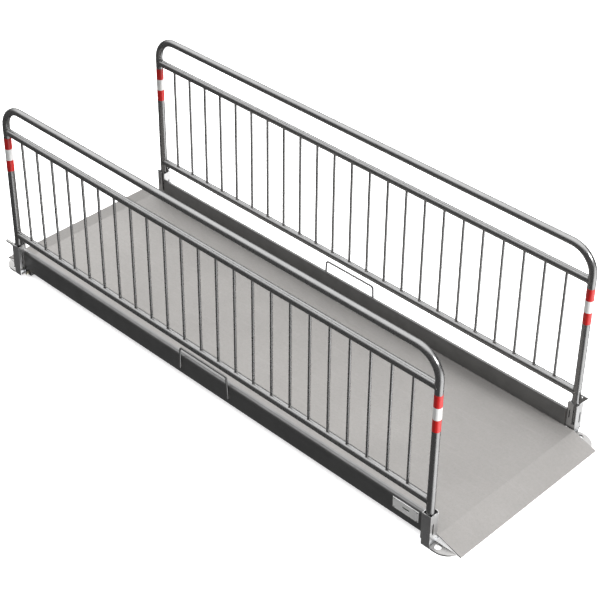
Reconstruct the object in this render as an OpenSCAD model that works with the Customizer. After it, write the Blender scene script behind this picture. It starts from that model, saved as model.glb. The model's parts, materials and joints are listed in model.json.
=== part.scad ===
// Walk-through animal weighing scale: a low deck with folded ramps between two
// kerb beams, two lift-out tube railings and a load cell with a levelling foot
// under each corner. Units are millimetres, +Z is up, and the origin is on the
// ground at the middle of the footprint. +X runs along the deck and +Y points
// towards the far railing.

/* [Platform] */
// Distance between the two posts of one railing
post_pitch = 2500; // [1600:10:3000]
// Distance between the two railings, post centre to post centre
rail_pitch = 902; // [700:2:1200]
// Height of the deck's upper face above the ground
deck_top = 42; // [42:1:50]
// Thickness of the deck sheet
deck_t = 4; // [3:0.5:5]
// Width of the deck between the kerb beams
deck_w = 848; // [640:1:852]
// Length of each ramp along the deck
ramp_run = 115; // [90:1:180]
// Gap between the ramp's toe and the ground
toe_gap = 2; // [1:0.5:4]
// Number of cross ribs under the deck
rib_count = 7; // [3:1:9]

/* [Kerb beams] */
// Width of a kerb beam
beam_w = 21; // [20:1:21]
// Height of a kerb beam's top edge above the ground
beam_top = 129; // [110:1:150]
// Height of a kerb beam's lower edge above the ground
beam_bottom = 30; // [30:1:34]
// Radius of the beam's outer shoulder
shoulder_r = 19; // [8:1:20]
// Wall thickness of the beam
beam_wall = 3; // [2:0.5:3]

/* [Railings] */
// Outside diameter of the railing tube
tube_d = 33.7; // [30:0.1:33.7]
// Wall thickness of the railing tube
tube_wall = 2.6; // [2:0.1:4]
// Height of the lower rail's centre line
lower_z = 217; // [200:1:260]
// Height of the middle rail's centre line
mid_z = 767; // [600:1:800]
// Height of the top rail's centre line
top_z = 901; // [880:1:1100]
// Centre-line radius of the bends in the hoop
bend_r = 110; // [70:1:120]
// Diameter of a baluster rod
rod_d = 12; // [8:0.5:14]
// Number of balusters in one railing
rod_count = 23; // [9:1:31]
// Height of one tape band
band_h = 56.5; // [40:0.5:60]

/* [Corner sockets] */
// Outside length of the post socket along the beam
socket_l = 46; // [46:0.5:52]
// Outside width of the post socket across the beam
socket_w = 44; // [43:0.5:46]
// Wall thickness of the socket
socket_wall = 4; // [3:0.5:4]
// Height of the socket's upper edge
socket_top = 161; // [150:1:165]
// Height of the socket's lower edge above the ground
socket_bottom = 38; // [38:1:42]
// Depth of post held inside the socket
post_depth = 95; // [60:1:100]

/* [Load cells and feet] */
// Thickness of a load cell
cell_t = 16; // [14:0.5:16]
// Length of a load cell
cell_l = 135; // [120:1:140]
// Width of a load cell
cell_w = 36; // [30:1:36]
// Nominal radius of the foot screw's thread
screw_r = 8; // [7:0.5:8]
// Thickness of the foot plate that lies on the ground
foot_t = 8; // [8:0.5:10]
// Radius of the anchor hole in the foot plate
anchor_r = 15; // [10:0.5:15]

/* [Handles and cover] */
// Length of a carrying handle along the beam
handle_l = 284; // [160:1:360]
// Diameter of the handle rod
handle_d = 9; // [8:0.5:12]
// Length of the access cover
cover_l = 130; // [110:1:140]
// Height of the access cover
cover_h = 52; // [45:1:52]

/* [Hidden] */
$fn = 64;
eps = 0.5;              // how far a cutting shape runs past the face that it cuts
fit = 0.05;             // radial clearance of a running fit

NEAR = -1;
FAR = 1;
LEFT = -1;
RIGHT = 1;

post_x = post_pitch / 2;
post_y = rail_pitch / 2;
tube_r = tube_d / 2;
bore_r = tube_r - tube_wall;
deck_y = deck_w / 2;
beam_out = deck_y + beam_w;
beam_end = post_x - socket_l / 2;
socket_in = post_x - socket_l / 2;
socket_out = post_x + socket_l / 2;
leg_y = post_y + socket_w / 2;
leg_gap = 3;            // gap between a socket's leg and the ground
leg_inset = 5;          // how much narrower the leg is than the socket
post_bottom = socket_top - post_depth;

crease_x = post_x + 24;
toe_x = crease_x + ramp_run;

// Slot in a socket's end wall, and a narrower one in its inner wall
slot_w = 7;
slot_z = 91;
slot_h = 56;
slot_y = 6;
side_slot_w = 5;
side_slot_z = 107.5;
side_slot_h = 41;
side_slot_x = -10;
tab_w = 20;             // rounded tab on top of the inner wall
tab_rise = 10;
seat_z = post_bottom - 3.3;
seat_t = 3.7;

// Cover and the window behind it, near the right-hand end of the near beam
cover_x = post_x - 122;
cover_z = 90;
cover_t = 2;
window_l = cover_l - 25;
window_h = cover_h - 15;
cover_screw_dx = cover_l / 2 - 7;
cover_screw_dz = cover_h / 2 - 5;
cover_screw_r = 1.5;

// Load cell, lying across the deck with its outer end over the foot
cell_z = foot_t + 5;
cell_top = cell_z + cell_t;
cell_end = post_y + 15;
cell_start = cell_end - cell_l;
cell_hole_y = [cell_start + 15, cell_start + 40];
cell_hole_r = 5;
block_l = 60;

// Foot screw and foot plate
tip_r = 6.5;
tip_z = 4;
collar_z = foot_t + 0.6;
collar_t = 4;
screw_top = 56;
nut_h = 7.6;
nut_z = cell_top + 0.2;
nut_af = 24;
ear_end = post_x + 123;
ear_r = 76;
plate_start = socket_in + 2;
plate_in = deck_y + 2;
plate_out = leg_y - socket_wall - 1.5;
ear_out = leg_y - 1;
anchor_x = post_x + 44;
anchor_y = post_y - 6.5;

// Clamp screw in the near left socket
clamp_z = 137;
clamp_r = 6;
clamp_nut_h = 12;
clamp_tip_r = 3;
clamp_tip_l = 3;
knob_r = 7.5;

band_gap = 14.5;        // bare tube between the middle rail and the tape
band_t = 0.4;
gusset_t = 5;
gusset_l = 43;
gusset_h = 53;

function ring_gap(r) = r + fit;

// Moves a shape made at the far right-hand corner to another corner
module at_corner(sx, sy) {
    mirror([sx < 0 ? 1 : 0, 0, 0])
        mirror([0, sy < 0 ? 1 : 0, 0])
            children();
}

module at_side(sy) {
    mirror([0, sy < 0 ? 1 : 0, 0])
        children();
}

// A round rod from one point to another
module rod(from, to, r) {
    v = to - from;
    len = norm(v);
    translate(from)
        rotate([0, acos(v[2] / len), atan2(v[1], v[0])])
            cylinder(h = len, r = r);
}

module hex(af, h) {
    cylinder(h = h, r = af / sqrt(3), $fn = 6);
}

// ---------- deck ----------

// Section of the deck along X: a flat sheet with both ends folded down to the ground
module deck_section() {
    drop = deck_top - toe_gap - deck_t;
    nose = 6;
    polygon([
        [-crease_x, deck_top], [crease_x, deck_top],
        [toe_x, deck_top - drop], [toe_x, toe_gap], [toe_x - nose, toe_gap],
        [crease_x - 1, deck_top - deck_t], [-crease_x + 1, deck_top - deck_t],
        [-toe_x + nose, toe_gap], [-toe_x, toe_gap], [-toe_x, deck_top - drop]
    ]);
}

module deck() {
    color("lightgray")
        translate([0, deck_y, 0])
            rotate([90, 0, 0])
                linear_extrude(deck_w)
                    deck_section();
}

module cross_ribs() {
    rib_w = 40;
    rib_h = 20;
    rib_wall = 2;
    rib_len = deck_w - 6;
    rib_z = deck_top - deck_t - rib_h;
    span = 2 * (post_x - 70);
    color("gray")
        for (i = [0 : rib_count - 1])
            translate([-span / 2 + i * span / (rib_count - 1) - rib_w / 2, -rib_len / 2, rib_z])
                difference() {
                    cube([rib_w, rib_len, rib_h]);
                    translate([rib_wall, -eps, rib_wall])
                        cube([rib_w - 2 * rib_wall, rib_len + 2 * eps, rib_h - 2 * rib_wall]);
                }
}

// ---------- kerb beams ----------

// Beam section in Y and Z, pulled in by a wall thickness for the hollow
module beam_section(inset) {
    arc_y = beam_out - shoulder_r;
    arc_z = beam_top - shoulder_r;
    y0 = deck_y + inset;
    y1 = beam_out - inset;
    z0 = beam_bottom + inset;
    z1 = beam_top - inset;
    translate([y0, z0])
        square([y1 - y0, arc_z - z0]);
    if (arc_y > y0)
        translate([y0, z0])
            square([arc_y - y0, z1 - z0]);
    intersection() {
        translate([arc_y, arc_z])
            circle(r = shoulder_r - inset);
        translate([y0, z0])
            square([y1 - y0, z1 - z0]);
    }
}

module beam(sy) {
    at_side(sy)
        translate([-beam_end, 0, 0])
            rotate([90, 0, 90])
                linear_extrude(2 * beam_end)
                    difference() {
                        beam_section(0);
                        beam_section(beam_wall);
                    }
}

module near_beam() {
    color("dimgray")
        difference() {
            beam(NEAR);
            translate([cover_x - window_l / 2, -beam_out - eps, cover_z - window_h / 2])
                cube([window_l, beam_wall + 2 * eps, window_h]);
            for (dx = [-1, 1], dz = [-1, 1])
                translate([cover_x + dx * cover_screw_dx, -beam_out - eps, cover_z + dz * cover_screw_dz])
                    rotate([-90, 0, 0])
                        cylinder(h = beam_wall + 2 * eps, r = cover_screw_r + fit);
        }
}

module far_beam() {
    color("dimgray")
        beam(FAR);
}

module beam_end_caps() {
    cap_t = 3;
    color("dimgray")
        for (sx = [LEFT, RIGHT], sy = [NEAR, FAR])
            at_corner(sx, sy)
                translate([beam_end - cap_t, 0, 0])
                    rotate([90, 0, 90])
                        linear_extrude(cap_t)
                            beam_section(beam_wall);
}

// Bent rod welded to the beam's outer face, with slightly splayed legs
module handle(sy) {
    r = handle_d / 2;
    half = handle_l / 2;
    bar_z = 169;
    foot_z = 58;
    corner = 14;
    splay = 3;
    leg = (bar_z - foot_z - corner) / cos(splay);
    lap = 0.8;          // length by which the straight parts enter the bends
    full = 0.05;        // extra radius of the bends
    at_side(sy)
        translate([0, beam_out + r + full, bar_z]) {
            rotate([0, 90, 0])
                translate([0, 0, -half + corner - lap])
                    cylinder(h = 2 * (half - corner + lap), r = r);
            for (s = [0, 1])
                mirror([s, 0, 0])
                    translate([half - corner, 0, -corner])
                        rotate([90, 0, 0])
                            rotate([0, 0, splay]) {
                                rotate_extrude(angle = 90 - splay)
                                    translate([corner, 0])
                                        circle(r = r + full);
                                translate([corner, lap, 0])
                                    rotate([90, 0, 0])
                                        cylinder(h = leg + lap, r = r);
                            }
        }
}

module near_handle() {
    color("silver")
        handle(NEAR);
}

module far_handle() {
    color("silver")
        handle(FAR);
}

// ---------- corner sockets ----------

// Upright slot with round ends, cut along X from the origin
module slot_cut(w, h, len) {
    for (dz = [-1, 1])
        translate([0, 0, dz * (h - w) / 2])
            rotate([0, 90, 0])
                cylinder(h = len, d = w);
    translate([0, -w / 2, -(h - w) / 2])
        cube([len, w, h - w]);
}

// Folded socket for one post, made around the origin as it stands at the far
// railing: -Y is the inner side. Its inner wall stops short of the right-hand
// corner and carries a rounded tab, and its outer wall runs on down as a leg.
module socket(clamped) {
    half_x = socket_l / 2;
    half_y = socket_w / 2;
    inner_x = socket_l - 2 * socket_wall;
    inner_y = socket_w - 2 * socket_wall;
    open_x = 6.5;
    difference() {
        union() {
            translate([-half_x, -half_y, leg_gap])
                cube([socket_l, socket_w, socket_top - leg_gap]);
            translate([-half_x, -half_y, socket_top - eps])
                cube([tab_w, socket_wall, tab_rise + eps - tab_w / 2]);
            translate([-half_x + tab_w / 2, -half_y, socket_top + tab_rise - tab_w / 2])
                rotate([-90, 0, 0])
                    cylinder(h = socket_wall, d = tab_w);
        }
        translate([-inner_x / 2, -inner_y / 2, seat_z])
            cube([inner_x, inner_y, socket_top]);
        translate([-inner_x / 2, -inner_y / 2, -eps])
            cube([inner_x, inner_y, seat_z - seat_t + eps]);
        // Gap at the inner corner where the folded sheet ends
        translate([open_x, -half_y - eps, seat_z])
            cube([inner_x / 2 - open_x, socket_wall + 2 * eps, socket_top]);
        translate([-half_x - eps, -half_y - eps, leg_gap - eps])
            cube([socket_l + 2 * eps, socket_w - socket_wall + eps, socket_bottom - leg_gap + eps]);
        translate([half_x - leg_inset, half_y - socket_wall - eps, leg_gap - eps])
            cube([leg_inset + eps, socket_wall + 2 * eps, beam_bottom - leg_gap + eps]);
        translate([-half_x - eps, slot_y, slot_z])
            slot_cut(slot_w, slot_h, socket_l + 2 * eps);
        translate([side_slot_x, -half_y + socket_wall + eps, side_slot_z])
            rotate([0, 0, -90])
                slot_cut(side_slot_w, side_slot_h, socket_wall + 2 * eps);
        if (clamped)
            translate([0, 0, clamp_z])
                rotate([0, 90, 0])
                    cylinder(h = socket_l, r = clamp_r);
    }
}

module near_left_socket() {
    color("gray")
        translate([-post_x, -post_y, 0]) rotate([0, 0, 180]) socket(true);
}

module near_right_socket() {
    color("gray")
        translate([post_x, -post_y, 0]) rotate([0, 0, 180]) socket(false);
}

module far_left_socket() {
    color("gray")
        translate([-post_x, post_y, 0]) socket(false);
}

module far_right_socket() {
    color("gray")
        translate([post_x, post_y, 0]) socket(false);
}

// ---------- load cells ----------

module load_cell() {
    pocket = 14;
    difference() {
        translate([post_x - cell_w / 2, cell_start, cell_z])
            cube([cell_w, cell_l, cell_t]);
        for (y = cell_hole_y)
            translate([post_x, y, cell_z - eps])
                cylinder(h = cell_t + 2 * eps, r = ring_gap(cell_hole_r));
        translate([post_x, post_y, cell_z - eps])
            cylinder(h = cell_t + 2 * eps, r = ring_gap(screw_r));
        // Sideways bores that thin the sensing web
        for (dy = [-1, 1])
            translate([post_x - cell_w / 2 - eps, (cell_start + cell_end) / 2 + 10 + dy * pocket / 2, cell_z + cell_t / 2])
                rotate([0, 90, 0])
                    cylinder(h = cell_w + 2 * eps, r = cell_t / 4);
    }
}

module near_left_load_cell() {
    color("lightsteelblue")
        at_corner(LEFT, NEAR) load_cell();
}

module near_right_load_cell() {
    color("lightsteelblue")
        at_corner(RIGHT, NEAR) load_cell();
}

module far_left_load_cell() {
    color("lightsteelblue")
        at_corner(LEFT, FAR) load_cell();
}

module far_right_load_cell() {
    color("lightsteelblue")
        at_corner(RIGHT, FAR) load_cell();
}

module cell_mount_blocks() {
    color("gray")
        for (sx = [LEFT, RIGHT], sy = [NEAR, FAR])
            at_corner(sx, sy)
                difference() {
                    translate([post_x - cell_w / 2, cell_start, cell_top])
                        cube([cell_w, block_l, deck_top - deck_t - cell_top]);
                    for (y = cell_hole_y)
                        translate([post_x, y, cell_top - eps])
                            cylinder(h = deck_top, r = ring_gap(cell_hole_r));
                }
}

module cell_bolts() {
    head_h = 5;
    head_r = 8.5;
    socket_af = 6;
    color("silver")
        for (sx = [LEFT, RIGHT], sy = [NEAR, FAR], y = cell_hole_y)
            at_corner(sx, sy)
                translate([post_x, y, cell_z - head_h])
                    difference() {
                        union() {
                            cylinder(h = head_h, r = head_r);
                            cylinder(h = head_h + deck_top - deck_t - cell_z - 1, r = cell_hole_r);
                        }
                        translate([0, 0, -eps])
                            hex(socket_af, head_h - 1);
                    }
}

// ---------- levelling feet ----------

// Ground plate: a pad under the foot screw and a round-cornered ear with the
// anchor hole
module foot_plate() {
    ear_x = ear_end - ear_r;
    difference() {
        linear_extrude(foot_t)
            difference() {
                union() {
                    translate([plate_start, plate_in])
                        square([socket_out + 2 - plate_start, plate_out - plate_in]);
                    translate([socket_out + 2 - eps, plate_in])
                        square([ear_x - socket_out - 2 + eps, ear_out - plate_in]);
                    intersection() {
                        translate([ear_x, ear_out - ear_r])
                            circle(r = ear_r);
                        translate([ear_x - eps, plate_in])
                            square([ear_r + 2 * eps, ear_r]);
                    }
                }
                translate([anchor_x, anchor_y])
                    circle(r = anchor_r);
            }
        translate([post_x, post_y, tip_z])
            cylinder(h = foot_t, r = ring_gap(tip_r));
    }
}

module near_left_foot_plate() {
    color("lightgray")
        at_corner(LEFT, NEAR) foot_plate();
}

module near_right_foot_plate() {
    color("lightgray")
        at_corner(RIGHT, NEAR) foot_plate();
}

module far_left_foot_plate() {
    color("lightgray")
        at_corner(LEFT, FAR) foot_plate();
}

module far_right_foot_plate() {
    color("lightgray")
        at_corner(RIGHT, FAR) foot_plate();
}

// Threaded foot screw with a collar for a spanner and a driving slot in its top
module foot_screw() {
    slot_depth = 4;
    slot_gap = 2;
    translate([post_x, post_y, 0])
        difference() {
            union() {
                translate([0, 0, tip_z + fit])
                    cylinder(h = collar_z - tip_z - fit, r = tip_r);
                translate([0, 0, collar_z])
                    hex(nut_af, collar_t);
                translate([0, 0, collar_z])
                    cylinder(h = screw_top - collar_z, r = screw_r);
            }
            translate([-screw_r - eps, -slot_gap / 2, screw_top - slot_depth])
                cube([2 * screw_r + 2 * eps, slot_gap, slot_depth + eps]);
        }
}

module near_left_foot_screw() {
    color("silver")
        at_corner(LEFT, NEAR) foot_screw();
}

module near_right_foot_screw() {
    color("silver")
        at_corner(RIGHT, NEAR) foot_screw();
}

module far_left_foot_screw() {
    color("silver")
        at_corner(LEFT, FAR) foot_screw();
}

module far_right_foot_screw() {
    color("silver")
        at_corner(RIGHT, FAR) foot_screw();
}

module foot_lock_nuts() {
    color("silver")
        for (sx = [LEFT, RIGHT], sy = [NEAR, FAR])
            at_corner(sx, sy)
                translate([post_x, post_y, nut_z])
                    difference() {
                        hex(nut_af, nut_h);
                        translate([0, 0, -eps])
                            cylinder(h = nut_h + 2 * eps, r = ring_gap(screw_r));
                    }
}

// ---------- cover, wiring ----------

module access_cover() {
    cut_l = 36;
    cut_h = 9;
    color("gainsboro")
        translate([cover_x, -beam_out - cover_t, cover_z])
            difference() {
                translate([-cover_l / 2, 0, -cover_h / 2])
                    cube([cover_l, cover_t, cover_h]);
                translate([-cut_l / 2 + cut_h / 2, -eps, -cut_h / 2])
                    cube([cut_l - cut_h, cover_t + 2 * eps, cut_h]);
                for (s = [-1, 1])
                    translate([s * (cut_l - cut_h) / 2, -eps, 0])
                        rotate([-90, 0, 0])
                            cylinder(h = cover_t + 2 * eps, d = cut_h);
                for (dx = [-1, 1], dz = [-1, 1])
                    translate([dx * cover_screw_dx, -eps, dz * cover_screw_dz])
                        rotate([-90, 0, 0])
                            cylinder(h = cover_t + 2 * eps, r = cover_screw_r + fit);
            }
}

module cover_screws() {
    head_r = 2.8;
    head_t = 1.2;
    shank = 6;
    color("silver")
        for (dx = [-1, 1], dz = [-1, 1])
            translate([cover_x + dx * cover_screw_dx, -beam_out - cover_t, cover_z + dz * cover_screw_dz])
                rotate([-90, 0, 0]) {
                    translate([0, 0, -head_t])
                        cylinder(h = head_t, r = head_r);
                    cylinder(h = shank, r = cover_screw_r);
                }
}

// Potted board that adds the four load cell signals, behind the cover
module junction_module() {
    board_l = window_l - 12;
    board_h = window_h - 8;
    board_t = 10;
    color("darkgreen")
        translate([cover_x - board_l / 2, -deck_y - beam_wall - board_t, cover_z - board_h / 2])
            cube([board_l, board_t, board_h]);
}

outlet_l = 36;
outlet_x = -socket_in + 4;
outlet_z = 8;
gland_r = 7;
gland_l = 14;
gland_bore = 3.2;

// Block under the left-hand end of the near beam that the signal cable leaves through
module cable_outlet() {
    hole_r = 6;
    color("black")
        difference() {
            translate([outlet_x, -beam_out, outlet_z])
                cube([outlet_l, beam_w, beam_bottom - outlet_z]);
            translate([outlet_x + outlet_l / 2, -deck_y + eps, (beam_bottom + outlet_z) / 2])
                rotate([90, 0, 0])
                    cylinder(h = beam_w + 2 * eps, r = hole_r + fit);
        }
}

module cable_gland() {
    hole_r = 6;
    thread_l = 10;
    nut_l = 6;
    color("silver")
        translate([outlet_x + outlet_l / 2, -beam_out, (beam_bottom + outlet_z) / 2])
            rotate([90, 0, 0])
                difference() {
                    union() {
                        translate([0, 0, -thread_l])
                            cylinder(h = thread_l + 1, r = hole_r);
                        hex(2 * gland_r, nut_l);
                        cylinder(h = gland_l, r = gland_r - 1);
                    }
                    translate([0, 0, -thread_l - eps])
                        cylinder(h = gland_l + thread_l + 2 * eps, r = gland_bore);
                }
}

// One cable from each load cell, tied along the underside of the deck to the
// near beam, below the junction module. Each runs inwards, along and across.
module cell_cables() {
    cable_r = 2.5;
    start_y = cell_start - 0.3;
    run_y = start_y - 30;
    far_z = deck_top - deck_t - 23.5;
    near_z = far_z - 5.5;
    gap = 8;
    over = 1;
    color("black")
        for (sx = [LEFT, RIGHT], sy = [NEAR, FAR]) {
            z = sy > 0 ? far_z : near_z;
            x1 = cover_x - sy * gap + sx * gap / 2;
            end_y = -deck_y + 8;
            rod([sx * post_x, sy * start_y, z], [sx * post_x, sy * (run_y - cable_r - over), z], cable_r);
            rod([sx * (post_x + cable_r + over), sy * run_y, z], [x1 - sx * (cable_r + over), sy * run_y, z], cable_r);
            rod([x1, sy * run_y + cable_r + over, z], [x1, end_y, z], cable_r);
        }
}

// ---------- railings ----------

// One hoop: two posts and a top rail bent from a single tube
module hoop(sy) {
    translate([0, sy * post_y, 0]) {
        for (s = [-1, 1]) {
            difference() {
                translate([s * post_x, 0, post_bottom])
                    cylinder(h = top_z - bend_r - post_bottom, r = tube_r);
                translate([s * post_x, 0, post_bottom - eps])
                    cylinder(h = top_z - bend_r - post_bottom + 2 * eps, r = bore_r);
            }
            translate([s * (post_x - bend_r), 0, top_z - bend_r])
                rotate([90, 0, 0])
                    rotate([0, 0, s > 0 ? 0 : 90])
                        rotate_extrude(angle = 90)
                            translate([bend_r, 0])
                                difference() {
                                    circle(r = tube_r);
                                    circle(r = bore_r);
                                }
        }
        translate([-post_x + bend_r, 0, top_z])
            rotate([0, 90, 0])
                difference() {
                    cylinder(h = 2 * (post_x - bend_r), r = tube_r);
                    translate([0, 0, -eps])
                        cylinder(h = 2 * (post_x - bend_r) + 2 * eps, r = bore_r);
                }
    }
}

// Straight rail between the posts, its ends coped to the posts
module rail(sy, z) {
    translate([0, sy * post_y, 0])
        difference() {
            translate([-post_x, 0, z])
                rotate([0, 90, 0])
                    cylinder(h = post_pitch, r = tube_r);
            translate([-post_x - eps, 0, z])
                rotate([0, 90, 0])
                    cylinder(h = post_pitch + 2 * eps, r = bore_r);
            for (s = [-1, 1])
                translate([s * post_x, 0, z - tube_d])
                    cylinder(h = 2 * tube_d, r = ring_gap(tube_r));
        }
}

// Rods between the middle and the lower rail, a hair clear of both
module balusters(sy) {
    first_gap = 106;
    last_gap = 117;
    pitch = (post_pitch - first_gap - last_gap) / (rod_count - 1);
    clear = 0.1;
    z0 = lower_z + tube_r + clear;
    z1 = mid_z - tube_r - clear;
    for (i = [0 : rod_count - 1])
        translate([-post_x + first_gap + i * pitch, sy * post_y, z0])
            cylinder(h = z1 - z0, d = rod_d);
}

// Adhesive tape sleeves on both posts; first and step pick every second band
module bands(sy, first) {
    top = mid_z - tube_r - band_gap;
    for (s = [-1, 1], i = [first : 2 : 2])
        translate([s * post_x, sy * post_y, top - (i + 1) * band_h])
            difference() {
                cylinder(h = band_h, r = tube_r + band_t);
                translate([0, 0, -eps])
                    cylinder(h = band_h + 2 * eps, r = ring_gap(tube_r));
            }
}

// Triangular plate on the right-hand side of a post, just over the socket
module gusset(x, y, z_high) {
    z_low = socket_top + 2;
    hole = 9;
    inset = 10;
    reach = gusset_l * (z_high - z_low) / gusset_h;
    x0 = x + tube_r + 0.1;
    translate([0, y + gusset_t / 2, 0])
        rotate([90, 0, 0])
            linear_extrude(gusset_t)
                difference() {
                    polygon([[x0, z_low], [x0 + reach, z_high], [x0, z_high]]);
                    translate([x0 + inset, z_high - inset])
                        circle(d = hole);
                }
}

module post_plugs(sy) {
    plug_l = 20;
    flange = 3;
    for (s = [-1, 1])
        translate([s * post_x, sy * post_y, post_bottom]) {
            cylinder(h = plug_l, r = bore_r - fit);
            translate([0, 0, -flange])
                cylinder(h = flange, r = tube_r);
        }
}

module near_hoop() {
    color("gray") hoop(NEAR);
}

module near_mid_rail() {
    color("gray") rail(NEAR, mid_z);
}

module near_lower_rail() {
    color("gray") rail(NEAR, lower_z);
}

module near_balusters() {
    color("gray") balusters(NEAR);
}

module near_red_bands() {
    color("red") bands(NEAR, 0);
}

module near_white_bands() {
    color("white") bands(NEAR, 1);
}

module near_gusset() {
    color("gray") gusset(-post_x, -post_y, lower_z - tube_r - 0.1);
}

module near_post_plugs() {
    color("black") post_plugs(NEAR);
}

module far_hoop() {
    color("gray") hoop(FAR);
}

module far_mid_rail() {
    color("gray") rail(FAR, mid_z);
}

module far_lower_rail() {
    color("gray") rail(FAR, lower_z);
}

module far_balusters() {
    color("gray") balusters(FAR);
}

module far_red_bands() {
    color("red") bands(FAR, 0);
}

module far_white_bands() {
    color("white") bands(FAR, 1);
}

module far_gussets() {
    color("gray") {
        gusset(-post_x, post_y, lower_z - tube_r - 0.1);
        gusset(post_x, post_y, lower_z - 3);
    }
}

module far_post_plugs() {
    color("black") post_plugs(FAR);
}

// ---------- clamp screw ----------

pad_start = tube_r + 0.3;
pad_end = socket_l / 2 - 0.2;

// Nut welded to the near left socket
module clamp_nut() {
    color("silver")
        at_corner(LEFT, NEAR)
            translate([socket_out, post_y, clamp_z])
                rotate([0, 90, 0])
                    difference() {
                        hex(19, clamp_nut_h);
                        translate([0, 0, -eps])
                            cylinder(h = clamp_nut_h + 2 * eps, r = clamp_r);
                    }
}

// Tip pad that swivels on the screw's end and presses on the post
module clamp_pad() {
    pad_l = pad_end - pad_start;
    color("ivory")
        at_corner(LEFT, NEAR)
            translate([post_x + pad_start, post_y, clamp_z])
                rotate([0, 90, 0])
                    difference() {
                        cylinder(h = pad_l, r = clamp_r - fit);
                        translate([0, 0, pad_l - clamp_tip_l])
                            cylinder(h = clamp_tip_l + eps, r = ring_gap(clamp_tip_r));
                    }
}

// Screw with a ribbed knob
module clamp_screw() {
    knob_x = 50;
    knob_l = 44;
    ribs = 8;
    rib_r = 1.6;
    color("silver")
        at_corner(LEFT, NEAR)
            translate([post_x, post_y, clamp_z])
                rotate([0, 90, 0]) {
                    translate([0, 0, pad_end - clamp_tip_l + fit])
                        cylinder(h = clamp_tip_l + 1, r = clamp_tip_r);
                    translate([0, 0, pad_end + fit])
                        cylinder(h = knob_x - pad_end, r = clamp_r - fit);
                    translate([0, 0, knob_x])
                        difference() {
                            cylinder(h = knob_l, r = knob_r);
                            for (i = [0 : ribs - 1])
                                rotate([0, 0, i * 360 / ribs])
                                    translate([knob_r + 0.6, 0, 4])
                                        cylinder(h = knob_l, r = rib_r);
                        }
                }
}

deck();
cross_ribs();
near_beam();
far_beam();
beam_end_caps();
near_left_socket();
near_right_socket();
far_left_socket();
far_right_socket();
near_handle();
far_handle();
near_left_load_cell();
near_right_load_cell();
far_left_load_cell();
far_right_load_cell();
cell_mount_blocks();
cell_bolts();
foot_lock_nuts();
access_cover();
cover_screws();
junction_module();
cable_outlet();
cable_gland();
cell_cables();
near_left_foot_plate();
near_right_foot_plate();
far_left_foot_plate();
far_right_foot_plate();
near_left_foot_screw();
near_right_foot_screw();
far_left_foot_screw();
far_right_foot_screw();
near_hoop();
near_mid_rail();
near_lower_rail();
near_balusters();
near_red_bands();
near_white_bands();
near_gusset();
near_post_plugs();
far_hoop();
far_mid_rail();
far_lower_rail();
far_balusters();
far_red_bands();
far_white_bands();
far_gussets();
far_post_plugs();
clamp_nut();
clamp_pad();
clamp_screw();
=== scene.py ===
"""Looks for the walk-through animal scale: materials, welds, lights and camera
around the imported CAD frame. Everything is in metres, in the frame's own axes."""

import json
import math

import bmesh
import bpy
from mathutils import Matrix, Vector


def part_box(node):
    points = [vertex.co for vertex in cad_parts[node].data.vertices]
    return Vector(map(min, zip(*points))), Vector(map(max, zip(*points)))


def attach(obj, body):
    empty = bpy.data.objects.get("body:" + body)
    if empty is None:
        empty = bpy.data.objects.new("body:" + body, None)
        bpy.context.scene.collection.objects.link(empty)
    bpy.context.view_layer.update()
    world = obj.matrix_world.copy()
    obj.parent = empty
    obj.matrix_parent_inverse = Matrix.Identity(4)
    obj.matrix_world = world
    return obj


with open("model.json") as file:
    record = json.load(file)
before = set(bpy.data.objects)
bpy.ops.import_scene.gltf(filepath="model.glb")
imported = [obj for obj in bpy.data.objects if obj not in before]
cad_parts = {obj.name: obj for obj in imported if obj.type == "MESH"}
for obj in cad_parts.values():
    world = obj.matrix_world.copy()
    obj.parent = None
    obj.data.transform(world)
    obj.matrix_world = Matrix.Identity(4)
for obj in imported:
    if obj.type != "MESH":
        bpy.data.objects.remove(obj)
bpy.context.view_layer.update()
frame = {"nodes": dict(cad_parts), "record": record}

nodes = frame["nodes"]
scene = bpy.context.scene

# ---------------------------------------------------------------- camera ----

# Fitted to the straight lines of both railings in the photo
CAMERA_AT = Vector((4.026, -4.038, 4.478))
CAMERA_AZIMUTH = math.radians(45.636)
CAMERA_ELEVATION = math.radians(34.839)
CAMERA_ROLL = math.radians(-0.344)
LENS = 99.1
SENSOR = 36.0
SHIFT = (0.0620, -0.0784)


def add_camera():
    az, el, roll = CAMERA_AZIMUTH, CAMERA_ELEVATION, CAMERA_ROLL
    forward = Vector((-math.sin(az) * math.cos(el), math.cos(az) * math.cos(el), -math.sin(el)))
    right = forward.cross(Vector((0, 0, 1))).normalized()
    up = right.cross(forward)
    rolled_right = right * math.cos(roll) + up * math.sin(roll)
    rolled_up = up * math.cos(roll) - right * math.sin(roll)
    turn = Matrix((rolled_right, rolled_up, -forward)).transposed()
    data = bpy.data.cameras.new("camera")
    data.lens = LENS
    data.sensor_width = SENSOR
    data.shift_x, data.shift_y = SHIFT
    data.clip_end = 100.0
    camera = bpy.data.objects.new("camera", data)
    camera.matrix_world = Matrix.Translation(CAMERA_AT) @ turn.to_4x4()
    scene.collection.objects.link(camera)
    scene.camera = camera


# ------------------------------------------------------------- materials ----

EDGE_HIGHLIGHT_LEAN = 0.25         # how far the bevelled normal leans where an edge gets the full painted highlight
GRAIN_DEPTH = 0.0002     # height of the fine grain in steel and plastic
ROUGH_SWING = 0.06       # how far steel's roughness varies either way


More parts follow.
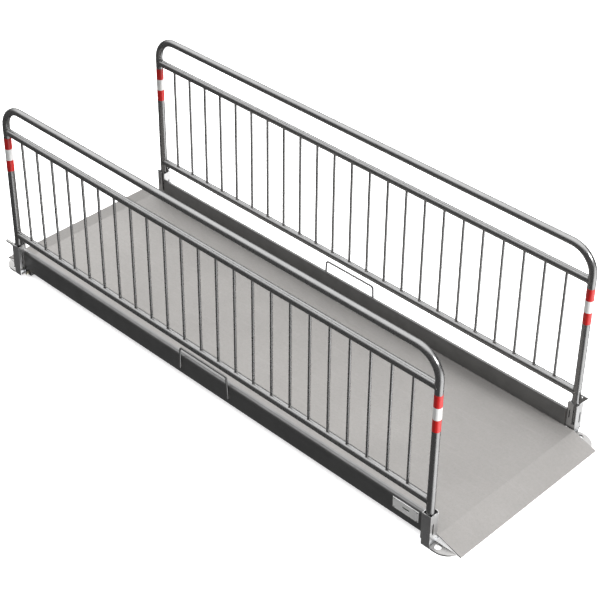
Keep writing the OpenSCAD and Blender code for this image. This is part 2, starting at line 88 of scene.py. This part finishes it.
class Nodes:
    """A small helper that adds and joins shader nodes."""

    def __init__(self, name):
        self.material = bpy.data.materials.new(name)
        self.material.use_nodes = True
        self.tree = self.material.node_tree
        self.tree.nodes.clear()
        self.out = self.tree.nodes.new("ShaderNodeOutputMaterial")
        self.shader = self.tree.nodes.new("ShaderNodeBsdfPrincipled")
        self.link(self.shader.outputs[0], self.out.inputs["Surface"])
        self.place = self.tree.nodes.new("ShaderNodeTexCoord").outputs["Object"]

    def link(self, a, b):
        self.tree.links.new(a, b)

    def noise(self, scale, detail=3.0, rough=0.55, stretch=None):
        place = self.place
        if stretch:
            mapping = self.tree.nodes.new("ShaderNodeMapping")
            mapping.inputs["Scale"].default_value = stretch
            self.link(place, mapping.inputs["Vector"])
            place = mapping.outputs[0]
        n = self.tree.nodes.new("ShaderNodeTexNoise")
        n.inputs["Scale"].default_value = scale
        n.inputs["Detail"].default_value = detail
        n.inputs["Roughness"].default_value = rough
        self.link(place, n.inputs["Vector"])
        return n.outputs["Fac"]

    def cells(self, scale):
        n = self.tree.nodes.new("ShaderNodeTexVoronoi")
        n.inputs["Scale"].default_value = scale
        self.link(self.place, n.inputs["Vector"])
        return n.outputs["Color"], n.outputs["Distance"]

    def spread(self, fac, low, high, start=0.3, end=0.7):
        """Maps a texture's start..end to low..high."""
        n = self.tree.nodes.new("ShaderNodeMapRange")
        n.inputs["From Min"].default_value = start
        n.inputs["From Max"].default_value = end
        n.inputs["To Min"].default_value = low
        n.inputs["To Max"].default_value = high
        self.link(fac, n.inputs["Value"])
        return n.outputs[0]

    def math(self, op, a, b):
        n = self.tree.nodes.new("ShaderNodeMath")
        n.operation = op
        for socket, value in zip(n.inputs, (a, b)):
            if isinstance(value, (int, float)):
                socket.default_value = value
            else:
                self.link(value, socket)
        return n.outputs[0]

    def mix(self, fac, a, b):
        n = self.tree.nodes.new("ShaderNodeMix")
        n.data_type = "RGBA"
        self.link(fac, n.inputs["Factor"])
        for name, value in (("A", a), ("B", b)):
            socket = [s for s in n.inputs if s.name == name and s.type == "RGBA"][0]
            if isinstance(value, tuple):
                socket.default_value = (*value, 1.0)
            else:
                self.link(value, socket)
        return [s for s in n.outputs if s.type == "RGBA"][0]

    def axis(self, which):
        n = self.tree.nodes.new("ShaderNodeSeparateXYZ")
        self.link(self.place, n.inputs[0])
        return n.outputs[which]

    def edges(self, radius):
        """Near 1 along edges, found by how far the bevelled normal leans from the true one; the mask for
        painted edge highlights.
        """
        bevel = self.tree.nodes.new("ShaderNodeBevel")
        bevel.inputs["Radius"].default_value = radius
        geometry = self.tree.nodes.new("ShaderNodeNewGeometry")
        dot = self.tree.nodes.new("ShaderNodeVectorMath")
        dot.operation = "DOT_PRODUCT"
        self.link(bevel.outputs[0], dot.inputs[0])
        self.link(geometry.outputs["Normal"], dot.inputs[1])
        off = self.math("SUBTRACT", 1.0, dot.outputs["Value"])
        return self.spread(off, 0.0, 1.0, 0.0, EDGE_HIGHLIGHT_LEAN)

    def bump(self, height, strength, distance, normal=None):
        n = self.tree.nodes.new("ShaderNodeBump")
        n.inputs["Strength"].default_value = strength
        n.inputs["Distance"].default_value = distance
        self.link(height, n.inputs["Height"])
        if normal:
            self.link(normal, n.inputs["Normal"])
        return n.outputs[0]

    def set(self, **values):
        for name, value in values.items():
            socket = self.shader.inputs[name.replace("_", " ")]
            if isinstance(value, (int, float)):
                socket.default_value = value
            elif isinstance(value, tuple):
                socket.default_value = (*value, 1.0)
            else:
                self.link(value, socket)


def shade(color, by):
    return tuple(min(1.0, c * by) for c in color)


def grey(level):
    return (level, level, level)


def zinc_steel(name, color, metallic, rough, spangle=0.1, streak=0.12, dirt=0.25, edge=1.35, grain=0.3):
    """Galvanised steel: cloudy zinc spangle, drawn streaks, fine grain, dull patches, and a painted
    highlight along its edges.
    """
    n = Nodes(name)
    cloud = n.noise(14.0, 4.0)
    patches, _ = n.cells(55.0)
    fine = n.noise(900.0, 2.0)
    drawn = n.noise(60.0, 3.0, 0.6, (0.06, 1.0, 1.0))
    base = n.mix(n.spread(cloud, 0.0, 1.0), shade(color, 1.0 - spangle), shade(color, 1.0 + spangle))
    speck = n.tree.nodes.new("ShaderNodeSeparateColor")
    n.link(patches, speck.inputs[0])
    base = n.mix(n.math("MULTIPLY", speck.outputs[0], spangle * 1.6), base, shade(color, 1.25))
    base = n.mix(n.spread(drawn, 0.0, streak, 0.4, 0.75), base, shade(color, 1.5))
    grime = n.spread(n.noise(5.0, 6.0, 0.62), 0.0, dirt, 0.5, 0.78)
    base = n.mix(grime, base, shade(color, 0.5))
    # Every edge lightened by edge: a painted highlight
    base = n.mix(n.edges(0.0012), base, shade(color, edge))
    sheen = n.spread(n.noise(60.0, 3.0), rough - ROUGH_SWING, rough + ROUGH_SWING)
    rough_map = n.math("ADD", sheen, n.math("MULTIPLY", grime, 0.4))
    n.set(Base_Color=base, Metallic=metallic, Roughness=rough_map, Normal=n.bump(fine, grain, GRAIN_DEPTH))
    return n.material


def plastic(name, color, rough, variation=0.08, coat=0.0):
    """Moulded plastic or tape: faint mottling, a few dull smudges and a fine grain."""
    n = Nodes(name)
    mottle = n.spread(n.noise(30.0, 4.0), 0.0, 1.0)
    base = n.mix(mottle, shade(color, 1 - variation), shade(color, 1 + variation))
    smudges = n.spread(n.noise(7.0, 5.0), 0.0, 0.3, 0.55, 0.8)
    base = n.mix(smudges, base, shade(color, 0.75))
    rough_map = n.spread(n.noise(45.0, 3.0), rough - 0.06, rough + 0.08)
    fine = n.bump(n.noise(1400.0, 2.0), 0.3, GRAIN_DEPTH)
    n.set(Base_Color=base, Metallic=0.0, Roughness=rough_map, Normal=fine)
    if coat:
        n.set(Coat_Weight=coat, Coat_Roughness=0.12)
    return n.material


def deck_material():
    """Blasted steel sheet: fine grit, small dimples with painted shade in them, scuffs along the walkway,
    and a painted highlight along its edges.
    """
    n = Nodes("deck_plate")
    color = (0.25, 0.241, 0.232)
    cloud = n.noise(2.2, 5.0, 0.6)
    fine = n.noise(420.0, 2.0, 0.6)
    grit = n.noise(1500.0, 1.0)
    _, dimple = n.cells(110.0)
    scuffs = n.noise(26.0, 3.0, 0.7, (0.25, 3.0, 1.0))
    base = n.mix(n.spread(cloud, 0.0, 1.0), shade(color, 0.93), shade(color, 1.07))
    base = n.mix(n.spread(fine, 0.0, 0.35), base, shade(color, 0.8))
    # Dimple centres darkened: painted shade in the dimples
    base = n.mix(n.spread(dimple, 0.22, 0.0, 0.0, 0.5), base, shade(color, 0.7))
    base = n.mix(n.spread(scuffs, 0.0, 0.16, 0.52, 0.75), base, shade(color, 1.35))
    # Edges lightened: a painted highlight
    base = n.mix(n.edges(0.002), base, shade(color, 1.5))
    rough_map = n.spread(n.noise(70.0, 3.0), 0.46, 0.62)
    normal = n.bump(dimple, 0.25, 0.0008)
    normal = n.bump(fine, 0.4, 0.0003, normal)
    normal = n.bump(grit, 0.3, 0.0001, normal)
    n.set(Base_Color=base, Metallic=0.25, Roughness=rough_map, Normal=normal)
    return n.material


def weld_material():
    """Fused metal: fine lumps, lighter on their tops and darker between them as painted highlight and
    shade, with patches of heat tint.
    """
    n = Nodes("weld_bead")
    color = (0.16, 0.155, 0.15)
    lumps = n.noise(420.0, 3.0)
    # Lumps' tops lightened and hollows darkened from the bump's own height: painted highlight and shade
    base = n.mix(n.spread(lumps, 0.0, 1.0), shade(color, 0.7), shade(color, 1.35))
    base = n.mix(n.spread(n.noise(90.0, 2.0), 0.0, 0.45, 0.5, 0.75), base, (0.14, 0.10, 0.07))
    rough_map = n.spread(n.noise(240.0, 2.0), 0.3, 0.5)
    n.set(Base_Color=base, Metallic=0.8, Roughness=rough_map, Normal=n.bump(lumps, 0.5, 0.0006))
    return n.material


# edge: how much lighter the painted highlight along edges is
CLEAN = dict(streak=0.06, dirt=0.2, edge=1.2)
DRAWN = dict(metallic=0.95, spangle=0.05, streak=0.05, dirt=0.12, edge=1.1, grain=0.08)
STEELS = {
    "frame_steel": dict(color=grey(0.20), metallic=0.6, rough=0.5),
    "beam_steel": dict(color=grey(0.20), metallic=0.9, rough=0.34, spangle=0.08, grain=0.12, **CLEAN),
    "socket_zinc": dict(color=grey(0.46), metallic=0.92, rough=0.32, spangle=0.06, grain=0.15, **CLEAN),
    "rail_tube": dict(color=grey(0.26), rough=0.28, **DRAWN),
    "bare_rod": dict(color=grey(0.25), rough=0.3, **DRAWN),
    "foot_plate_steel": dict(color=(0.36, 0.355, 0.35), metallic=0.7, rough=0.4),
    "cell_steel": dict(color=(0.45, 0.46, 0.47), metallic=0.9, rough=0.3, spangle=0.04),
    "zinc_fasteners": dict(color=(0.48, 0.48, 0.46), metallic=0.9, rough=0.28, spangle=0.06),
    "cover_plate": dict(color=(0.93, 0.93, 0.92), metallic=0.0, rough=0.42,
                        spangle=0.03, streak=0.04, dirt=0.08, edge=1.05),
    "gland_brass": dict(color=(0.56, 0.53, 0.44), metallic=0.9, rough=0.3, spangle=0.05),
}
PLASTICS = {
    "red_tape": dict(color=(0.60, 0.012, 0.010), rough=0.36, variation=0.06, coat=0.15),
    "white_tape": dict(color=(0.84, 0.84, 0.83), rough=0.36, variation=0.03, coat=0.15),
    "black_plastic": dict(color=(0.02, 0.02, 0.021), rough=0.5),
    "pad_plastic": dict(color=(0.70, 0.67, 0.58), rough=0.5),
    "potting": dict(color=(0.03, 0.06, 0.04), rough=0.3),
    "cable_jacket": dict(color=grey(0.02), rough=0.6),
}
MATERIALS = {"deck_plate": deck_material()}
for slot_name, settings in STEELS.items():
    MATERIALS[slot_name] = zinc_steel(slot_name, **settings)
for slot_name, settings in PLASTICS.items():
    MATERIALS[slot_name] = plastic(slot_name, **settings)
WELD = weld_material()

# Names of corners and sides, sizes that match part.scad, and threads, which only the material shows
CORNERS = ("near_left", "near_right", "far_left", "far_right")
SIDES = {"near": -1, "far": 1}
CLAMP_KNOB = 0.044       # length of the clamp screw's knob
DECK_TOP = 0.042
HANDLE_R = 0.0045        # radius of the rod that the handles are bent from
CLAMP_PITCH = 0.00175
FOOT_PITCH = 0.002
FOOT_THREAD = (0.0126, 0.06)    # lower and upper end of the foot screws' thread


def thread_material(name, which, pitch, start, end, color):
    """Zinc-plated screw whose thread ridges run between two places on its axis, with painted shade in the
    grooves and a painted highlight along its edges.
    """
    n = Nodes(name)
    along = n.axis(which)
    ridges = n.math("SINE", n.math("MULTIPLY", along, 2 * math.pi / pitch), 0.0)
    inside = n.math("MULTIPLY", n.math("GREATER_THAN", along, start), n.math("LESS_THAN", along, end))
    ridges = n.math("MULTIPLY", ridges, inside)
    cloud = n.noise(60.0, 3.0)
    base = n.mix(n.spread(cloud, 0.0, 1.0), shade(color, 0.85), shade(color, 1.1))
    # Grooves between the ridges darkened: painted shade in the thread
    base = n.mix(n.spread(ridges, 0.55, 0.0, -1.0, 0.2), base, shade(color, 0.35))
    # Edges lightened: a painted highlight
    base = n.mix(n.edges(0.0008), base, shade(color, 1.3))
    rough_map = n.spread(n.noise(90.0, 2.0), 0.24, 0.38)
    n.set(Base_Color=base, Metallic=0.9, Roughness=rough_map, Normal=n.bump(ridges, 0.8, 0.0006))
    return n.material


def dress_cad():
    """Gives every CAD node its slot's material, and the screws their threads."""
    for entry in frame["record"]["subparts"]:
        mesh = nodes[entry["node"]].data
        mesh.materials.clear()
        mesh.materials.append(MATERIALS[entry["material_slot"]])
    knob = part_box("clamp_screw")[0].x + CLAMP_KNOB
    # The clamp screw ends short of x = 0, so its thread runs to its tip
    clamp = thread_material("clamp_thread", 0, CLAMP_PITCH, knob, 0.0, (0.42, 0.42, 0.41))
    nodes["clamp_screw"].data.materials[0] = clamp
    foot = thread_material("foot_thread", 2, FOOT_PITCH, *FOOT_THREAD, (0.46, 0.46, 0.44))
    for corner in CORNERS:
        nodes[corner + "_foot_screw"].data.materials[0] = foot


# ----------------------------------------------------------- weld beads -----

RIPPLE = 0.0022          # length of one ripple along a bead
RIPPLE_SWELL = 0.14      # how far a ripple swells, as a share of the bead's radius
TIP = 0.35               # radius at an open bead's ends, as a share of the bead's
BEAD_SIDES = 8
BEAD_STEP = 0.0009       # about how far apart the points of a straight bead lie
ROD_BEAD = 0.0013        # radii of the beads
RAIL_BEAD = 0.0017
PLATE_BEAD = 0.0014
BEAM_BEAD = 0.0018
HANDLE_BEAD = 0.0015
SKIN = 0.0004            # from a tube's face, or a gusset's edge, to the middle of a bead
GUSSET_FACE = 0.0026     # from the middle of a gusset plate to the middle of its beads
GUSSET_INSET = 0.003     # upright gusset beads stop this far short of the plate's ends
GUSSET_NOTCH = 0.006     # level gusset beads stop this far short of the plate's sides
UNDER_RAIL = 0.004       # a gusset whose top is less than this above the rail's underside is welded to it
BEAM_OUTER_WELD = (0.042, 0.108)    # lower and upper end, above the ground
BEAM_INNER_WELD = (0.060, 0.126)
STITCHES = 12            # along each side of the deck
STITCH_HALF = 0.018
HANDLE_WELD = (0.002, 0.034)        # lower and upper end, above the handle's own lowest point
HANDLE_FACE = 0.0034     # from the middle of a handle's leg to the middle of its beads


def sweep(bm, points, radius, closed):
    """A rippled round bead along the points, its ends tapered when it isn't closed."""
    count = len(points)
    rings = []
    travelled = 0.0
    for i, point in enumerate(points):
        before = points[i - 1] if i or closed else point
        after = points[(i + 1) % count] if i < count - 1 or closed else point
        along = (after - before).normalized()
        helper = Vector((0, 0, 1)) if abs(along.z) < 0.9 else Vector((1, 0, 0))
        u = along.cross(helper).normalized()
        v = along.cross(u)
        if i:
            travelled += (point - points[i - 1]).length
        r = radius * (1.0 + RIPPLE_SWELL * math.cos(2 * math.pi * travelled / RIPPLE))
        if not closed and i in (0, count - 1):
            r *= TIP
        angles = [2 * math.pi * k / BEAD_SIDES for k in range(BEAD_SIDES)]
        rings.append([bm.verts.new(point + (u * math.cos(t) + v * math.sin(t)) * r) for t in angles])
    last = count if closed else count - 1
    for i in range(last):
        a, b = rings[i], rings[(i + 1) % count]
        for k in range(BEAD_SIDES):
            following = (k + 1) % BEAD_SIDES
            bm.faces.new((a[k], a[following], b[following], b[k]))
    if not closed:
        bm.faces.new(rings[0][::-1])
        bm.faces.new(rings[-1])


def line(a, b):
    """Points from a to b, close enough together to show the ripples."""
    a, b = Vector(a), Vector(b)
    count = max(3, int((b - a).length / BEAD_STEP))
    return [a.lerp(b, i / count) for i in range(count + 1)]


def rod_on_rail(x, y, z, rod_r, rail_r, side):
    """Where an upright rod meets a rail along X, above it (side 1) or below it (-1)."""
    count = 28
    points = []
    for i in range(count):
        t = 2 * math.pi * i / count
        dy = rod_r * math.sin(t)
        rise = side * math.sqrt(rail_r ** 2 - dy ** 2)
        points.append(Vector((x + rod_r * math.cos(t), y + dy, z + rise)))
    return points


def rail_on_post(x, y, z, radius, side):
    """Where a rail along X meets a post of the same radius, on the post's +X or -X side."""
    count = 72
    points = []
    for i in range(count):
        t = 2 * math.pi * i / count
        dy = radius * math.cos(t)
        dx = math.sqrt(max(0.0, radius ** 2 - dy ** 2))
        points.append(Vector((x + side * (dx + SKIN), y + dy, z + radius * math.sin(t))))
    return points


def bead_piece(name, body, strings):
    """One mesh of weld beads from (points, radius, closed) strings."""
    bm = bmesh.new()
    for points, radius, closed in strings:
        sweep(bm, points, radius, closed)
    bmesh.ops.recalc_face_normals(bm, faces=bm.faces)
    for face in bm.faces:
        face.smooth = True
    mesh = bpy.data.meshes.new(name)
    bm.to_mesh(mesh)
    bm.free()
    mesh.materials.append(WELD)
    obj = bpy.data.objects.new(name, mesh)
    scene.collection.objects.link(obj)
    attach(obj, body)


def middle(node):
    low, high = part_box(node)
    return (low + high) / 2


def loose_centres(node):
    """X of the middle of each separate solid in a node of upright rods, left to right."""
    places = sorted({round(v.co.x, 4) for v in nodes[node].data.vertices})
    low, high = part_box(node)
    width = high.y - low.y
    groups = []
    for x in places:
        if groups and x - groups[-1][0] < width * 1.1:
            groups[-1].append(x)
        else:
            groups.append([x])
    return [(g[0] + g[-1]) / 2 for g in groups]


def gusset_boxes(side):
    """(x0, x1, z0, z1) of each gusset plate on one railing."""
    node = "near_gusset" if side == "near" else "far_gussets"
    boxes = []
    points = [v.co for v in nodes[node].data.vertices]
    for part in ([p for p in points if p.x < 0], [p for p in points if p.x > 0]):
        if part:
            xs, zs = [p.x for p in part], [p.z for p in part]
            boxes.append((min(xs), max(xs), min(zs), max(zs)))
    return boxes


def railing_beads(side):
    """Welds of one railing: balusters on both rails, rail ends on the posts, and gussets."""
    low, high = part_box(side + "_lower_rail")
    y = (low.y + high.y) / 2
    tube_r = (high.z - low.z) / 2
    rod_low, rod_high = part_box(side + "_balusters")
    rod_r = (rod_high.y - rod_low.y) / 2
    lower, mid = middle(side + "_lower_rail").z, middle(side + "_mid_rail").z
    hoop_low, hoop_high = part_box(side + "_hoop")
    post = hoop_high.x - tube_r
    strings = []
    for x in loose_centres(side + "_balusters"):
        strings.append((rod_on_rail(x, y, lower, rod_r, tube_r, 1), ROD_BEAD, True))
        strings.append((rod_on_rail(x, y, mid, rod_r, tube_r, -1), ROD_BEAD, True))
    for z in (lower, mid):
        for end in (-1, 1):
            strings.append((rail_on_post(end * post, y, z, tube_r, -end), RAIL_BEAD, True))
    for x0, x1, z0, z1 in gusset_boxes(side):
        for dy in (-GUSSET_FACE, GUSSET_FACE):
            foot = (x0 + SKIN, y + dy, z0 + GUSSET_INSET)
            head = (x0 + SKIN, y + dy, z1 - GUSSET_INSET)
            strings.append((line(foot, head), PLATE_BEAD, False))
            if z1 < lower - tube_r + UNDER_RAIL:
                start = (x0 + GUSSET_NOTCH, y + dy, z1)
                stop = (x1 - GUSSET_NOTCH, y + dy, z1)
                strings.append((line(start, stop), PLATE_BEAD, False))
    bead_piece(side + "_railing_welds", side + "_railing", strings)


def platform_beads():
    """Welds of the platform: beam ends on the sockets, handle legs, and stitches along the deck."""
    strings = []
    for side, sign in SIDES.items():
        low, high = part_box(side + "_beam")
        outer = high.y if sign > 0 else low.y
        inner = low.y if sign > 0 else high.y
        for end in (low.x, high.x):
            for face, span, radius in (
                (outer, BEAM_OUTER_WELD, BEAM_BEAD),
                (inner, BEAM_INNER_WELD, PLATE_BEAD),
            ):
                strings.append((line((end, face, span[0]), (end, face, span[1])), radius, False))
        for i in range(STITCHES):
            x = low.x + (i + 0.5) * (high.x - low.x) / STITCHES
            stitch = line((x - STITCH_HALF, inner, DECK_TOP), (x + STITCH_HALF, inner, DECK_TOP))
            strings.append((stitch, BEAM_BEAD, False))
        hand_low, hand_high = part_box(side + "_handle")
        for x in (hand_low.x + HANDLE_R, hand_high.x - HANDLE_R):
            for dx in (-HANDLE_FACE, HANDLE_FACE):
                start, stop = [(x + dx, outer, hand_low.z + rise) for rise in HANDLE_WELD]
                strings.append((line(start, stop), HANDLE_BEAD, False))
    bead_piece("platform_welds", "platform", strings)


# ---------------------------------------------------------------- stage -----


def pale_material(name, scale, detail, glow):
    """A plain pale surface that glows a little."""
    n = Nodes(name)
    cloud = n.spread(n.noise(scale, detail), 0.0, 1.0)
    base = n.mix(cloud, grey(0.88), grey(0.90))
    n.set(Base_Color=base, Roughness=0.9, Emission_Color=grey(1.0), Emission_Strength=glow)
    return n


def add_floor():
    size = 60.0
    corners = [(-size, -size, 0), (size, -size, 0), (size, size, 0), (-size, size, 0)]
    mesh = bpy.data.meshes.new("floor")
    mesh.from_pydata(corners, [], [(0, 1, 2, 3)])
    floor = bpy.data.objects.new("floor", mesh)
    scene.collection.objects.link(floor)
    n = pale_material("floor", 0.8, 3.0, 0.6)
    n.set(Specular_IOR_Level=0.0)
    mesh.materials.append(n.material)
    floor.visible_glossy = False
    floor.visible_diffuse = False


def add_backdrop():
    """A pale round wall far behind the object, for views that look past the floor."""
    radius, height, count = 45.0, 60.0, 96
    angles = [2 * math.pi * i / count for i in range(count)]
    ring = [(radius * math.cos(t), radius * math.sin(t)) for t in angles]
    vertices = [(x, y, z) for z in (-0.5, height) for x, y in ring]
    faces = [(i, (i + 1) % count, count + (i + 1) % count, count + i) for i in range(count)]
    mesh = bpy.data.meshes.new("backdrop")
    mesh.from_pydata(vertices, [], faces)
    wall = bpy.data.objects.new("backdrop", mesh)
    scene.collection.objects.link(wall)
    mesh.materials.append(pale_material("backdrop", 0.05, 2.0, 0.85).material)
    wall.visible_glossy = False
    wall.visible_diffuse = False
    wall.visible_shadow = False


def add_sun(name, toward, strength, softness):
    data = bpy.data.lights.new(name, "SUN")
    data.energy = strength
    data.angle = math.radians(softness)
    light = bpy.data.objects.new(name, data)
    light.rotation_euler = (-Vector(toward)).to_track_quat("-Z", "Y").to_euler()
    scene.collection.objects.link(light)


def add_lobe(tree, place, toward, start, end, strength):
    """Strength of a soft light card that fills the world around one direction."""
    facing = tree.nodes.new("ShaderNodeVectorMath")
    facing.operation = "DOT_PRODUCT"
    facing.inputs[1].default_value = Vector(toward).normalized()
    ramp = tree.nodes.new("ShaderNodeMapRange")
    ramp.interpolation_type = "SMOOTHSTEP"
    for name, value in (("From Min", start), ("From Max", end), ("To Min", 0.0), ("To Max", strength)):
        ramp.inputs[name].default_value = value
    tree.links.new(place, facing.inputs[0])
    tree.links.new(facing.outputs["Value"], ramp.inputs["Value"])
    return ramp.outputs[0]


CARD_STRENGTH = 2.2
OVERHEAD_CARD = ((-0.30, 0.15, 0.94), 0.40, 0.84)    # direction, and cosines where it begins and is full
LOW_CARD = ((0.80, 0.25, -0.55), 0.70, 0.92)
DIM = 0.15               # the world's strength away from both cards


def add_world():
    """A dim studio with one bright card overhead and one low card at the +X end."""
    world = bpy.data.worlds.new("world")
    world.use_nodes = True
    tree = world.node_tree
    place = tree.nodes.new("ShaderNodeTexCoord").outputs["Generated"]
    total = tree.nodes.new("ShaderNodeMath")
    total.operation = "ADD"
    for i, card in enumerate((OVERHEAD_CARD, LOW_CARD)):
        tree.links.new(add_lobe(tree, place, *card, CARD_STRENGTH), total.inputs[i])
    dim = tree.nodes.new("ShaderNodeMath")
    dim.operation = "ADD"
    dim.inputs[1].default_value = DIM
    tree.links.new(total.outputs[0], dim.inputs[0])
    tree.links.new(dim.outputs[0], tree.nodes["Background"].inputs["Strength"])
    tree.nodes["Background"].inputs["Color"].default_value = (1, 1, 1, 1)
    scene.world = world


def add_lights():
    add_world()
    add_sun("key", (0.80, 0.12, 0.60), 3.4, 16)
    scene.view_settings.view_transform = "Standard"


add_camera()
dress_cad()
for railing in SIDES:
    railing_beads(railing)
platform_beads()
add_floor()
add_backdrop()
add_lights()
